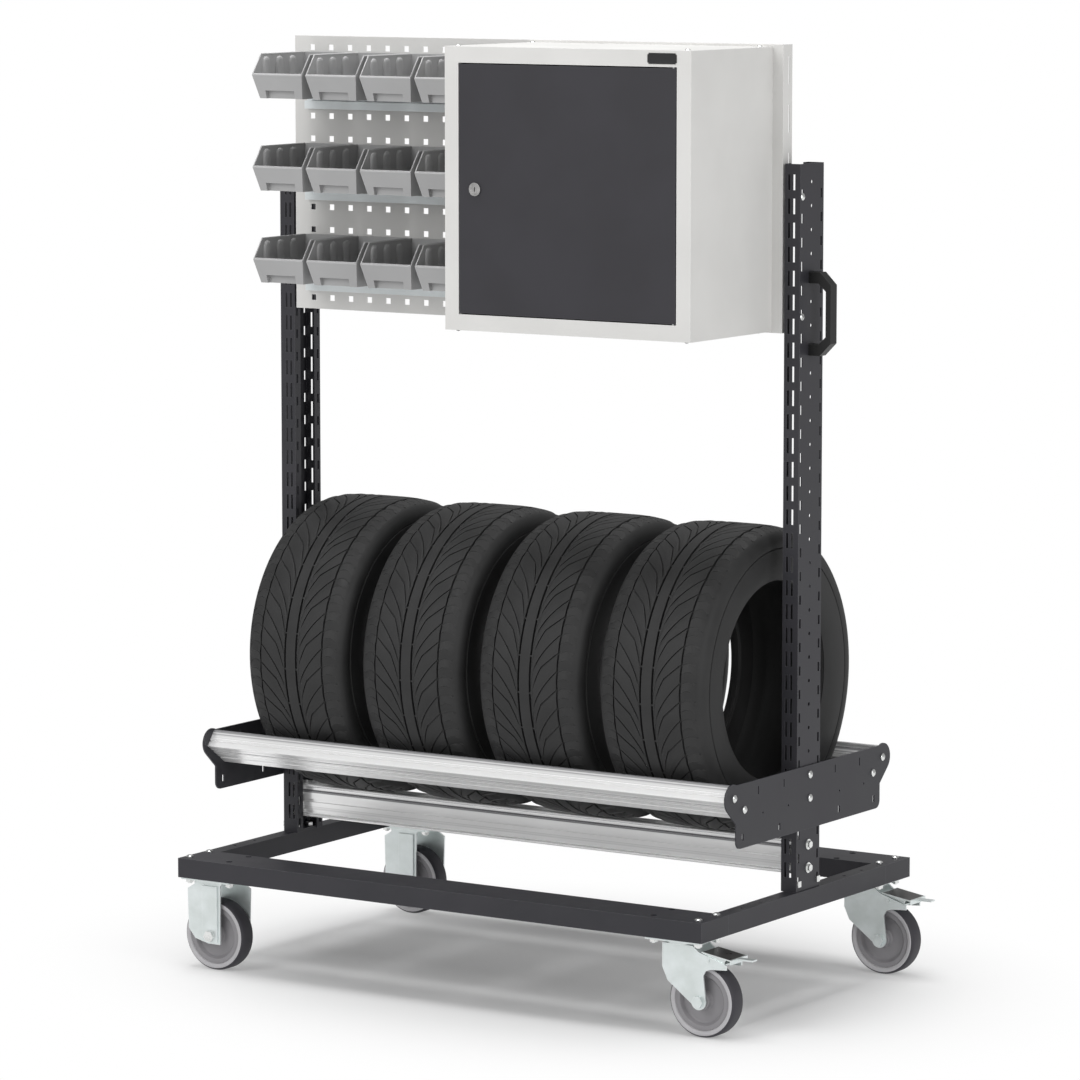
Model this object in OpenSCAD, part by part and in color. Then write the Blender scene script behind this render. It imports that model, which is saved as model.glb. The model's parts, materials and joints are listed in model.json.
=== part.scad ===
// Tyre storage rack on casters: a bolted base, two slotted uprights, a cradle of
// aluminium rails for tyres, a perforated panel, small-parts bins and a wall cabinet.
// +Z is up, the front faces -Y, and the origin is the middle of the footprint on the floor.

/* [Base] */
// Length of the base frame, end to end
base_w = 1070; // [880:10:1300]
// Depth of the base frame, front to rear
base_d = 702; // [585:1:860]
// Height of the base beams
beam_h = 34; // [28:1:44]
// Depth of the front and rear beams
end_beam_d = 86; // [80:1:104]
// Width of the side beams
side_beam_w = 28; // [24:1:34]
// Sheet thickness of the base beams
beam_t = 2.5; // [1.5:0.5:3]

/* [Casters] */
// Diameter of the wheels
wheel_d = 125; // [104:1:150]
// Width of the wheel tread
wheel_w = 36; // [28:1:42]
// Height of the underside of the base above the top of the wheels
caster_rise = 40; // [38:1:60]
// Diameter of the wheel axles
axle_d = 12; // [8:1:14]
// Distance from the swivel axis to the wheel axle
swivel_trail = 42; // [34:1:50]
// Thickness of the fork sheet
fork_t = 3; // [2:0.5:4]

/* [Uprights] */
// Length of the uprights
upright_h = 1228; // [1020:1:1480]
// Depth of the uprights, front to rear
upright_d = 77; // [72:1:92]
// Width of the uprights' front and rear flanges
upright_w = 30; // [26:1:36]
// Sheet thickness of the uprights
upright_t = 2; // [1.5:0.5:3]
// Distance between neighbouring holes, in the uprights and the panel
pitch = 40; // [40:1:48]

/* [Cradle] */
// Diameter of the stored tyres
tyre_d = 524; // [436:1:630]
// Width of the stored tyres
tyre_w = 205; // [170:1:225]
// Diameter of the tyres' bead opening
bead_d = 338; // [280:1:350]
// Distance between neighbouring tyres
tyre_pitch = 242; // [228:1:250]
// Angle between the upright line and the rail contact, seen from the tyre's middle
cradle_angle = 49.2; // [45:0.1:55]
// Slope of the front and rear rails
rail_tilt = 35; // [25:1:40]
// Sheet thickness of the side brackets
bracket_t = 3; // [2:0.5:5]

/* [Panel] */
// Number of hole rows in the perforated panel
panel_rows = 12; // [12:1:14]
// How far the panel stands above the uprights
panel_rise = 197; // [160:1:240]
// Depth of the panel's side flanges
flange_d = 30; // [24:1:36]
// Side of the square holes
square_hole = 10; // [8:0.5:12]

/* [Bins] */
// Width of a bin at its rim
bin_w = 105.5; // [88:0.5:110]
// Depth of a bin from back to front
bin_d = 156; // [130:1:187]
// Height of a bin
bin_h = 77; // [65:1:92]
// Wall thickness of a bin
bin_wall = 2; // [1.5:0.5:3]
// Number of bins on each rail
bin_columns = 4; // [1:1:4]

/* [Cabinet] */
// Width of the cabinet
cabinet_w = 481; // [400:1:490]
// Depth of the cabinet
cabinet_d = 260; // [217:1:312]
// Height of the cabinet
cabinet_h = 474; // [395:1:478]
// Width of the frame around the cabinet door
frame_w = 27; // [24:1:32]
// Depth of the cabinet door
door_d = 18; // [15:1:22]

/* [Hidden] */
$fn = 48;

anthracite = "#3f3e44";
light_grey = "#dedddb";
zinc = "#c9d3d4";
aluminium = "#d8dadc";
bin_grey = "#a6a6a6";
core_grey = "#8f8a8e";
rubber = "#3a3a3c";

// Clearances: between pieces that move past each other, and around a turning pin.
gap = 0.3;
fit = 0.05;

// Base: heights, and the bolts that hold the casters.
caster_h = wheel_d + caster_rise;
base_top = caster_h + beam_h;
lip_w = 26;
plate_l = 104;
plate_w = 84;
plate_t = 4;
plate_z = caster_h - plate_t;
bolt_span_x = 86;
bolt_span_y = 57;
bolt_d = 8;
nut_across = 13;
nut_h = 6;
nut_clear_x = bolt_span_x/2 - nut_across/2 - 1.5;
bolt_tail = 2;
access_d = 12;
swivel_inset = 61;
fixed_inset = 54;
end_beam_y = base_d/2 - end_beam_d/2;
caster_y = end_beam_y - 5;
swivel_x = base_w/2 - swivel_inset;
fixed_x = -base_w/2 + fixed_inset;

// Wheels and forks: half widths from the wheel's middle plane outwards.
axle_z = wheel_d/2;
tread_t = 12;
hub_half = wheel_w/2 + 2;
cheek_in = hub_half + 3;
cheek_out = cheek_in + fork_t;
rib_out = 3;

// Swivel fork and brake pedal, measured from the swivel axis.
race_d = 60;
race_h = 6;
crown_t = 4;
crown_half = 28;
crown_top = plate_z - race_h - gap;
king_pin_d = 12;
pin_head = 4;
pedal_x = 60;
pedal_z = crown_top - 22;
pedal_pin_d = 6;
pedal_start = 48;
pedal_end = 103;
pedal_reach = 134;
pedal_t = 1.5;

// The pedals reach past the right end further than the wheels do past the left end, so the
// base's middle lies a little left of the origin.
base_mid_x = -(swivel_x + pedal_reach + fixed_x - wheel_d/2)/2;

// Uprights stand on the side beams, and their hole rows count up from the foot.
upright_x = base_w/2 - bracket_t;
upright_in = upright_x - upright_w;
upright_lip = 17;
upright_top = base_top + upright_h;
foot_t = 4;
foot_margin = 37.5;
foot_bolt_y = 18;
hole_d = 6.5;
slot_w = 5.6;
slot_h = 16;
long_slot_w = 4.4;
long_slot_h = 26;
slot_edge = 7;
flange_slots = [12.5, 22];
hole_rows = floor((upright_h - foot_margin - 12)/pitch) + 1;
function hole_z(row) = base_top + foot_margin + pitch*row;

// Rail section: u runs from the first bolt to the second, w is across, beads on the +w side.
rail_end = 10;
rail_half = 14;
bead_rad = 3;
bead_w = rail_half + bead_rad;
bead_u = pitch + rail_end - bead_rad;
land_w = 14;
land_h = 3;
boss = 7;
rail_wall = 3;

// The tyres rest on the rails' inner beads, just above the lower rail.
tyre_r = tyre_d/2;
tyre_drop = 3;
tyre_shift = 8;
tyre_count = 4;
lower_rail_top = hole_z(1) + rail_end;
tyre_z = lower_rail_top + tyre_drop + tyre_r;
rest_r = tyre_r + gap + bead_rad;
rail_y = rest_r*sin(cradle_angle) + bead_u*cos(rail_tilt) + bead_w*sin(rail_tilt);
rail_z = tyre_z - rest_r*cos(cradle_angle) + bead_u*sin(rail_tilt) - bead_w*cos(rail_tilt);
groove_w = 4;
groove_depth = 6;
groove_places = [-65, -11.5, 11.5, 65];
carcass_t = 11;

// Side brackets follow the rails' bolts.
lobe_r = 25;
bracket_top = rail_z + lobe_r - 4;
bracket_bottom = rail_z - 87;
bracket_half = rail_y - 8;
bracket_corner = 13;
bracket_row = floor((bracket_top - 12 - hole_z(0))/pitch);

// Screw heads on the uprights and brackets.
head_d = 13;
head_h = 4.5;
washer_d = 18;
washer_t = 1.5;
thread_len = 25;

// Panel between the uprights, its face flush with their front flanges.
panel_t = 1.5;
panel_gap = 4.5;
panel_lip = 15;
panel_w = 2*(upright_in - panel_gap);
panel_h = panel_rows*pitch;
panel_top = upright_top + panel_rise;
panel_z = panel_top - panel_h;
panel_y = -upright_d/2;
panel_columns = floor((panel_w - pitch)/pitch) + 1;
panel_edge = (panel_w - (panel_columns - 1)*pitch)/2;
screw_d = 5;
screw_drop = 4;
screw_y = panel_y + slot_edge;
screw_rows = [hole_rows - 1, ceil((panel_z + pitch - hole_z(0))/pitch)];
function screw_z(row) = hole_z(row) - pitch/2 - screw_drop;

// Bin rails on the panel, and the bins that hook over their top lips.
bin_gap = 8;
bin_pitch = bin_w + bin_gap;
bin_left = -panel_w/2 + 26.5;
bin_rows = 3;
bin_rail_drop = 127.5;
bin_row_pitch = 4*pitch;
bin_rail_t = 1.5;
bin_rail_out = 8;
bin_nose_h = 14;
bin_rise = 23;
hook_t = 2;
hook_drop = 9.5;
lip_h = 8;
bin_lip_top = bin_rise + bin_h - hook_t - gap;
bin_shelf = bin_lip_top - lip_h;
bin_back = panel_y - bin_rail_out - bin_rail_t - gap;
bin_taper = 8;
bin_toe = 13;
rim_drop = 36;
rim_run = 26;
rib_w = 14;
rib_h = 1.2;
grip_edge = 22;
grip_h = 14;
grip_depth = 7;
function bin_rail_z(row) = panel_top - bin_rail_drop - bin_row_pitch*(row - 1);

// Cabinet on the panel, with a door hinged on its right.
cabinet_t = 1.5;
cabinet_right = panel_w/2 - 20.5;
cabinet_left = cabinet_right - cabinet_w;
cabinet_z = panel_z + 2;
cabinet_front = panel_y - cabinet_d;
door_gap = 2;
door_left = cabinet_left + frame_w + door_gap;
door_w = cabinet_w - 2*(frame_w + door_gap);
door_z = cabinet_z + frame_w + door_gap;
door_h = cabinet_h - 2*(frame_w + door_gap);
return_d = door_d + 2;
hinge_d = 4;
hinge_x = door_left + door_w - 6;
hinge_y = cabinet_front + 4;
hinge_reach = 10;
lock_x = door_left + 32;
lock_z = door_z + door_h/2;
lock_d = 18;
lock_rim = 22;
lock_out = 3;
cam_t = 2.5;
cam_w = 14;
cam_len = 42;
plug_d = 10;
plug_h = 3;
plug_edge = 16;
badge = [56, 0.8, 18];

// Carry handle on the right upright.
handle_out = 43;
handle_w = 20;
handle_bar = 10;
handle_leg = 20;
handle_corner = 21;
handle_span = 3*pitch;
handle_row = hole_rows - 8;

// ---- Shared shapes ----

// The whole rack is laid out about the base's middle.
module about_base() translate([base_mid_x, 0, 0]) children();

// A YZ outline extruded along +X, and an XZ outline extruded along +Y.
module along_x(len) rotate([90, 0, 90]) linear_extrude(len) children();
module along_y(len) translate([0, len, 0]) rotate([90, 0, 0]) linear_extrude(len) children();
module rod_x(d, len) rotate([0, 90, 0]) cylinder(d = d, h = len);
module rod_y(d, len) rotate([-90, 0, 0]) cylinder(d = d, h = len);

// A domed head that rests on z = 0, a hexagon, and a column of slots in a flat outline.
module dome_head(d, h) intersection() {
    translate([0, 0, h - 0.7*d]) sphere(r = 0.7*d);
    cylinder(d = d, h = h);
}
module hexagon(across, h) cylinder(d = across/cos(30), h = h, $fn = 6);
module slot_column(x, first, rows, w, h)
    for (row = [0:rows - 1]) translate([x - w/2, first + pitch*row - h/2]) square([w, h]);

// ---- Base frame ----

module caster_bolt_places(x, outer = true, inner = true)
    for (side = [-1, 1], sy = [-1, 1]) {
        if (outer) translate([x + sign(x)*bolt_span_x/2, side*caster_y + sy*bolt_span_y/2, 0]) children();
        if (inner) translate([x - sign(x)*bolt_span_x/2, side*caster_y + sy*bolt_span_y/2, 0]) children();
    }

// Downward-open folded channel with closed ends and return lips under it.
module end_beam(side) color(anthracite) about_base() difference() {
    translate([-base_w/2, side*end_beam_y - end_beam_d/2, caster_h]) cube([base_w, end_beam_d, beam_h]);
    translate([-base_w/2 + beam_t, side*end_beam_y - end_beam_d/2 + beam_t, caster_h + beam_t])
        cube([base_w - 2*beam_t, end_beam_d - 2*beam_t, beam_h - 2*beam_t]);
    translate([-base_w/2 + beam_t, side*end_beam_y - end_beam_d/2 + lip_w, caster_h - 1])
        cube([base_w - 2*beam_t, end_beam_d - 2*lip_w, beam_t + 2]);
    for (x = [fixed_x, swivel_x]) {
        caster_bolt_places(x) translate([0, 0, caster_h - 1]) cylinder(d = bolt_d, h = beam_t + 2);
        caster_bolt_places(x, inner = false) translate([0, 0, base_top - beam_t - 1])
            cylinder(d = bolt_d, h = beam_t + 2);
        caster_bolt_places(x, outer = false) translate([0, 0, base_top - beam_t - 1])
            cylinder(d = access_d, h = beam_t + 2);
    }
}

// Side beam with the holes for the upright's foot and for stop blocks.
module side_beam(side) color(anthracite) about_base() {
    len = base_d - 2*end_beam_d;
    mid = side*(base_w/2 - side_beam_w/2);
    difference() {
        translate([mid - side_beam_w/2, -len/2, caster_h]) cube([side_beam_w, len, beam_h]);
        translate([mid - side_beam_w/2 + beam_t, -len/2 - 1, caster_h - 1])
            cube([side_beam_w - 2*beam_t, len + 2, beam_h - beam_t + 1]);
        for (y = [-foot_bolt_y, foot_bolt_y]) translate([side*(upright_x - upright_w/2), y, caster_h])
            cylinder(d = bolt_d, h = beam_h + 1);
        for (y = [-200, -140, 140, 200]) translate([side*(base_w/2 - 12), y, caster_h])
            cylinder(d = hole_d, h = beam_h + 1);
    }
}

// Long domed bolts at the corners, and short bolts whose heads sit inside the beams.
module frame_bolts() color(zinc) about_base() for (x = [fixed_x, swivel_x]) {
    tail_z = plate_z - nut_h - bolt_tail;
    caster_bolt_places(x, inner = false) {
        translate([0, 0, tail_z]) cylinder(d = bolt_d, h = base_top - tail_z);
        translate([0, 0, base_top]) dome_head(head_d, head_h);
        translate([0, 0, plate_z - nut_h]) hexagon(nut_across, nut_h);
    }
    caster_bolt_places(x, outer = false) {
        translate([0, 0, tail_z]) cylinder(d = bolt_d, h = caster_h + beam_t - tail_z);
        translate([0, 0, caster_h + beam_t]) hexagon(nut_across, nut_h);
        translate([0, 0, plate_z - nut_h]) hexagon(nut_across, nut_h);
    }
}

// ---- Casters ----

module caster_plate() difference() {
    translate([-plate_l/2, -plate_w/2, plate_z]) cube([plate_l, plate_w, plate_t]);
    for (sx = [-1, 1], sy = [-1, 1]) translate([sx*bolt_span_x/2, sy*bolt_span_y/2, plate_z - 1])
        cylinder(d = bolt_d, h = plate_t + 2);
}

// One cheek of a fixed fork: broad, ribbed, slanted at its lower corner, notched for the nuts.
module fixed_cheek() difference() {
    union() {
        translate([0, -cheek_out, 0]) along_y(fork_t) polygon([[-nut_clear_x, plate_z],
            [-nut_clear_x, plate_z - nut_h - bolt_tail - 1], [-50, plate_z - 18], [-48, axle_z + 10],
            [-34, axle_z - 7], [-6, axle_z - 14], [20, axle_z - 14], [20, plate_z - 10],
            [27, plate_z]]);
        translate([-17, -cheek_out - rib_out, axle_z - 10]) cube([32, rib_out, plate_z - axle_z]);
    }
    translate([0, -cheek_out - rib_out - 1, axle_z]) rod_y(axle_d, fork_t + rib_out + 2);
}

module fixed_fork(side) color(zinc) about_base() translate([fixed_x, side*caster_y, 0]) {
    caster_plate();
    fixed_cheek();
    rotate([0, 0, 180]) fixed_cheek();
}

// Axle with its heads outside the cheeks and a collar on each side of the hub.
module axle(out) {
    translate([0, -out, axle_z]) rod_y(axle_d, 2*out);
    for (turn = [0, 180]) rotate([0, 0, turn]) {
        translate([0, -out - nut_h, axle_z]) rotate([-90, 0, 0]) hexagon(nut_across + 5, nut_h);
        translate([0, hub_half + gap, axle_z]) difference() {
            rod_y(axle_d + 6, cheek_in - hub_half - gap);
            translate([0, -1, 0]) rod_y(axle_d, cheek_in);
        }
    }
}
module fixed_axles() color(zinc) about_base()
    for (side = [-1, 1]) translate([fixed_x, side*caster_y, 0]) axle(cheek_out + rib_out);
module swivel_axle(side) color(zinc) about_base()
    translate([swivel_x + swivel_trail, side*caster_y, 0]) axle(cheek_out);

// Top plate of a swivel caster, with its race and king pin.
module swivel_plate(side) color(zinc) about_base() translate([swivel_x, side*caster_y, 0]) {
    caster_plate();
    translate([0, 0, plate_z - race_h]) cylinder(d = race_d, h = race_h);
    translate([0, 0, crown_top - crown_t - gap]) cylinder(d = king_pin_d, h = crown_t + 2*gap);
    translate([0, 0, crown_top - crown_t - gap - pin_head]) cylinder(d = king_pin_d + 8, h = pin_head);
}

// Swivel fork: a crown that turns under the race, and two cheeks with arms for the pedal.
module swivel_fork(side) color(zinc) about_base() translate([swivel_x, side*caster_y, 0]) difference() {
    arm_z = pedal_z - 12;
    union() {
        translate([-crown_half, -cheek_out, crown_top - crown_t]) cube([crown_half + 30, 2*cheek_out, crown_t]);
        for (y = [-cheek_out, cheek_in]) translate([0, y, 0]) along_y(fork_t) union() {
            polygon([[-crown_half, crown_top], [-crown_half, crown_top - 40], [-18, crown_top - 62],
                [swivel_trail - 14, axle_z - 4], [swivel_trail + 14, axle_z], [swivel_trail + 9, arm_z - 14],
                [swivel_trail + 14, arm_z - 5], [pedal_x + 5, arm_z - 2], [95, arm_z], [95, pedal_z - 4],
                [pedal_x + 4, pedal_z + 6], [42, crown_top - 9], [31, crown_top]]);
            translate([swivel_trail, axle_z]) circle(r = 14);
        }
    }
    translate([0, 0, crown_top - crown_t - 1]) cylinder(d = king_pin_d + 2*fit, h = crown_t + 2);
    translate([swivel_trail, -cheek_out - 1, axle_z]) rod_y(axle_d, 2*cheek_out + 2);
    translate([pedal_x, -cheek_out - 1, pedal_z]) rod_y(pedal_pin_d + 2*fit, 2*cheek_out + 2);
}

// Brake pedal: a sloping tread plate with side ears, a toe lip, a lever and its own pin.
module brake_pedal(side) color(zinc) about_base() translate([swivel_x, side*caster_y, 0]) {
    top = crown_top - 9;
    toe = crown_top - 18;
    ear_y = cheek_in - gap - pedal_t;
    translate([0, -cheek_out - 1, 0]) along_y(2*cheek_out + 2) polygon([[pedal_start, top],
        [pedal_end, toe], [pedal_end, toe - 6], [pedal_end + pedal_t, toe - 6],
        [pedal_end + pedal_t, toe + pedal_t], [pedal_start, top + pedal_t]]);
    for (y = [-ear_y - pedal_t, ear_y]) translate([0, y, 0]) along_y(pedal_t) polygon([
        [pedal_start, top + 0.5], [pedal_start + 2, pedal_z - 5], [pedal_x + 26, pedal_z - 9],
        [pedal_x + 32, toe + 1]]);
    translate([pedal_x + 12, -ear_y, pedal_z - 9]) cube([10, 2*ear_y, 3]);
    translate([pedal_x, -cheek_out - 2, pedal_z]) rod_y(pedal_pin_d, 2*cheek_out + 4);
    translate([pedal_end, -7, toe - 1]) cube([pedal_reach - pedal_end, 14, 2.5]);
}

// Wheel centre with hub, dished web and rim.
module wheel_core(x, side) color(core_grey) about_base() translate([x, side*caster_y, axle_z])
    rotate([90, 0, 0]) rotate_extrude() {
        rim_r = wheel_d/2 - tread_t;
        polygon([[axle_d/2 + fit, -hub_half], [axle_d/2 + 9, -hub_half], [axle_d/2 + 11, -6],
            [rim_r - 12, -4], [rim_r - 8, -wheel_w/2 + 4], [rim_r, -wheel_w/2 + 3],
            [rim_r, wheel_w/2 - 3], [rim_r - 8, wheel_w/2 - 4], [rim_r - 12, 4],
            [axle_d/2 + 11, 6], [axle_d/2 + 9, hub_half], [axle_d/2 + fit, hub_half]]);
    }

// Rubber tread bonded round the rim, with rounded shoulders.
module wheel_tread(x, side) color(rubber) about_base() translate([x, side*caster_y, axle_z])
    rotate([90, 0, 0]) rotate_extrude() {
        rim_r = wheel_d/2 - tread_t;
        shoulder = 5;
        union() {
            translate([rim_r, -wheel_w/2 + 2]) square([tread_t - shoulder, wheel_w - 4]);
            translate([rim_r, -wheel_w/2 + shoulder]) square([tread_t, wheel_w - 2*shoulder]);
            for (s = [-1, 1]) intersection() {
                translate([wheel_d/2 - shoulder, s*(wheel_w/2 - shoulder)]) circle(r = shoulder);
                translate([rim_r, -wheel_w/2]) square([tread_t, wheel_w]);
            }
        }
    }

// ---- Uprights and cradle ----

// C-section with slotted flanges and lips, drawn for the right side.
module upright_right_shape() {
    first_slot = foot_margin - pitch/2;
    translate([upright_x - upright_t, 0, base_top]) along_x(upright_t) difference() {
        translate([-upright_d/2, 0]) square([upright_d, upright_h]);
        for (row = [0:hole_rows - 1]) translate([0, foot_margin + pitch*row]) circle(d = hole_d);
        for (y = [-1, 1]) slot_column(y*(upright_d/2 - slot_edge), first_slot, hole_rows, slot_w, slot_h);
    }
    for (y = [-upright_d/2, upright_d/2 - upright_t]) translate([0, y, base_top]) along_y(upright_t)
        difference() {
            translate([upright_in, 0]) square([upright_w, upright_h]);
            for (x = flange_slots)
                slot_column(upright_x - x, foot_margin, hole_rows, long_slot_w, long_slot_h);
        }
    for (side = [-1, 1]) translate([upright_in, 0, base_top]) along_x(upright_t) difference() {
        translate([side*(upright_d/2 - upright_lip/2) - upright_lip/2, 0]) square([upright_lip, upright_h]);
        slot_column(side*(upright_d/2 - slot_edge), first_slot, hole_rows, slot_w, slot_h);
    }
    difference() {
        translate([upright_in + upright_t, -upright_d/2 + upright_t, base_top])
            cube([upright_w - 2*upright_t, upright_d - 2*upright_t, foot_t]);
        for (y = [-foot_bolt_y, foot_bolt_y]) translate([upright_x - upright_w/2, y, base_top - 1])
            cylinder(d = bolt_d, h = foot_t + 2);
    }
}
module upright_right() color(anthracite) about_base() upright_right_shape();
module upright_left() color(anthracite) about_base() mirror([1, 0, 0]) upright_right_shape();

// Square nuts in the lowest side slots, and the bolts that hold each foot to its beam.
module foot_nuts() color(zinc) about_base() for (side = [0, 1]) mirror([side, 0, 0]) {
    nut = 10;
    slot_mid = base_top + foot_margin - pitch/2;
    for (y = [-1, 1]) translate([upright_x, y*(upright_d/2 - slot_edge), slot_mid - 4]) {
        translate([0, -nut/2, -nut/2]) cube([3, nut, nut]);
        translate([-upright_t - 6, -slot_w/2 + 0.2, -3]) cube([upright_t + 6, slot_w - 0.4, 6]);
    }
    for (y = [-foot_bolt_y, foot_bolt_y]) translate([upright_x - upright_w/2, y, base_top + foot_t]) {
        hexagon(nut_across, nut_h);
        translate([0, 0, -foot_t - beam_t - nut_h]) cylinder(d = bolt_d, h = foot_t + beam_t + nut_h);
        translate([0, 0, -foot_t - beam_t - nut_h]) hexagon(nut_across, nut_h);
    }
}

// Aluminium section with two screw bores, a hollow middle, end beads and two lands.
module rail_section() difference() {
    union() {
        translate([-rail_end, -rail_half]) square([pitch + 2*rail_end, 2*rail_half]);
        for (u = [pitch - bead_u, bead_u]) {
            translate([u - bead_rad, rail_half]) square([2*bead_rad, bead_rad]);
            translate([u, bead_w]) circle(r = bead_rad);
        }
        for (side = [-1, 1]) translate([pitch/2 + side*(land_w/2 + 3) - land_w/2, rail_half])
            square([land_w, land_h]);
    }
    for (u = [0, pitch]) translate([u, 0]) circle(d = hole_d);
    translate([boss, -rail_half + rail_wall]) square([pitch - 2*boss, 2*(rail_half - rail_wall)]);
    for (u = [-rail_end, pitch + rail_end]) translate([u - 2, -5]) square([4, 3]);
    for (u = [8, pitch - 8]) translate([u - 2, -rail_half - 1]) square([4, 2.5]);
}
module cradle_rail(side) color(aluminium) about_base()
    translate([-upright_x, 0, 0]) along_x(2*upright_x)
        mirror([(side + 1)/2, 0]) translate([-rail_y, rail_z]) rotate(-rail_tilt) rail_section();
module rail_lower() color(aluminium) about_base()
    translate([-upright_x + upright_t, 0, 0]) along_x(2*(upright_x - upright_t))
        translate([0, hole_z(1)]) mirror([1, 0]) rotate(-90) rail_section();

// The rail bolts' places in a bracket, as YZ points.
second_y = rail_y - pitch*cos(rail_tilt);
second_z = rail_z - pitch*sin(rail_tilt);
rail_bolt_places = [for (s = [-1, 1]) each [[s*rail_y, rail_z], [s*second_y, second_z]]];

// A bracket is a plate with a round lobe over each pair of rail bolts and round lower corners.
module bracket_blank() union() {
    lobe = [rail_y + 3, rail_z - 1];
    knee_z = rail_z - 45;
    corner = [bracket_half - bracket_corner, bracket_bottom + bracket_corner];
    half = [[lobe[0], bracket_top], [lobe[0] + lobe_r*cos(45) - 1, lobe[1] - lobe_r*sin(45) - 1],
        [bracket_half, knee_z], [bracket_half, corner[1]], [corner[0], bracket_bottom]];
    along_x(bracket_t) polygon(concat(half, [for (i = [len(half) - 1:-1:0]) [-half[i][0], half[i][1]]]));
    for (s = [-1, 1]) {
        translate([0, s*lobe[0], lobe[1]]) rod_x(2*lobe_r, bracket_t);
        translate([0, s*corner[0], corner[1]]) rod_x(2*bracket_corner, bracket_t);
    }
}
module bracket(side) color(anthracite) about_base()
    translate([side*(base_w/2 - bracket_t/2) - bracket_t/2, 0, 0]) difference() {
        bracket_blank();
        for (p = rail_bolt_places) translate([-1, p[0], p[1]]) rod_x(hole_d, bracket_t + 2);
        for (row = [bracket_row - 1, bracket_row]) translate([-1, 0, hole_z(row)])
            rod_x(hole_d, bracket_t + 2);
        for (s = [-1, 1]) {
            for (in = [79, 163]) translate([-1, s*(rail_y - in) - 1.5, rail_z - 4])
                cube([bracket_t + 2, 3, 14]);
            for (in = [29, 149]) translate([-1, s*(rail_y - in) - 3, rail_z - 75])
                cube([bracket_t + 2, 6, 12]);
            for (in = [79, 163]) translate([-1, s*(rail_y - in) + 15, rail_z - 37])
                rod_x(4, bracket_t + 2);
        }
    }

// Rail bolts, lower rail bolts with washers, and the brackets' own bolts, on both sides.
module rail_bolts() color(zinc) about_base() for (side = [0, 1]) mirror([side, 0, 0]) {
    for (p = rail_bolt_places) translate([base_w/2, p[0], p[1]]) {
        translate([-bracket_t - thread_len, 0, 0]) rod_x(hole_d, bracket_t + thread_len);
        rotate([0, 90, 0]) dome_head(head_d, head_h);
    }
    for (row = [0, 1]) translate([upright_x, 0, hole_z(row)]) {
        translate([-upright_t - thread_len, 0, 0]) rod_x(hole_d, upright_t + thread_len);
        rod_x(washer_d, washer_t);
        translate([washer_t, 0, 0]) rotate([0, 90, 0]) hexagon(nut_across - 2, head_h);
    }
    for (row = [bracket_row - 1, bracket_row]) translate([base_w/2, 0, hole_z(row)]) {
        translate([-bracket_t - upright_t - nut_h, 0, 0]) rod_x(hole_d, bracket_t + upright_t + nut_h);
        rotate([0, 90, 0]) dome_head(head_d, head_h);
        translate([-bracket_t - upright_t - nut_h, 0, 0]) rotate([0, 90, 0]) hexagon(nut_across, nut_h);
    }
}

// ---- Panel, bins and handle ----

module panel_hole_places() for (col = [0:panel_columns - 1], row = [0:panel_rows - 1])
    translate([-panel_w/2 + panel_edge + pitch*col, panel_z + pitch/2 + pitch*row]) children();

// Perforated sheet with folded edges; the side edges carry hook slots and screw holes.
module panel() color(light_grey) about_base() {
    hook_rows = floor(panel_rows/2);
    translate([0, panel_y, 0]) along_y(panel_t) difference() {
        translate([-panel_w/2, panel_z]) square([panel_w, panel_h]);
        panel_hole_places() square(square_hole, center = true);
    }
    for (z = [panel_z, panel_top - panel_t]) translate([-panel_w/2 + panel_t, panel_y + panel_t, z])
        cube([panel_w - 2*panel_t, panel_lip, panel_t]);
    for (side = [-1, 1]) translate([side*(panel_w/2 - panel_t/2) - panel_t/2, 0, 0]) along_x(panel_t)
        difference() {
            translate([panel_y + panel_t, panel_z]) square([flange_d - panel_t, panel_h]);
            for (row = screw_rows) translate([screw_y, screw_z(row)]) circle(d = screw_d);
            for (row = [0:hook_rows - 1])
                translate([panel_y + flange_d - 12, panel_z + 14 + 2*pitch*row]) square([4, 46]);
        }
}

// Screws from outside each upright, through web and lip slots, into the panel's side edge.
module panel_screws() color(zinc) about_base() for (side = [0, 1], row = screw_rows) mirror([side, 0, 0])
    translate([upright_x, screw_y, screw_z(row)]) {
        reach = upright_x - panel_w/2 + panel_t + 5;
        rotate([0, 90, 0]) dome_head(12, 3.5);
        translate([-reach, 0, 0]) rod_x(screw_d, reach);
        translate([-reach, 0, 0]) rotate([0, 90, 0]) hexagon(9, 4);
    }

// Bridge handle with chamfered corners, bolted through the web of the right upright.
module handle() color("#232325") about_base() {
    low = hole_z(handle_row) - handle_leg/2;
    high = hole_z(handle_row) + handle_span + handle_leg/2;
    inner = handle_leg - 1;
    translate([upright_x, handle_w/2, 0]) difference() {
        translate([0, -handle_w, 0]) along_y(handle_w) difference() {
            polygon([[0, low], [handle_out - handle_corner, low], [handle_out, low + handle_corner],
                [handle_out, high - handle_corner], [handle_out - handle_corner, high], [0, high]]);
            polygon([[-1, low + inner], [handle_out - handle_corner - 3, low + inner],
                [handle_out - handle_bar, low + inner + 13], [handle_out - handle_bar, high - inner - 13],
                [handle_out - handle_corner - 3, high - inner], [-1, high - inner]]);
        }
        for (z = [low, high - handle_leg]) translate([-1, -handle_w/2, z + handle_leg/2])
            rod_x(hole_d, 13);
    }
}
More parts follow.
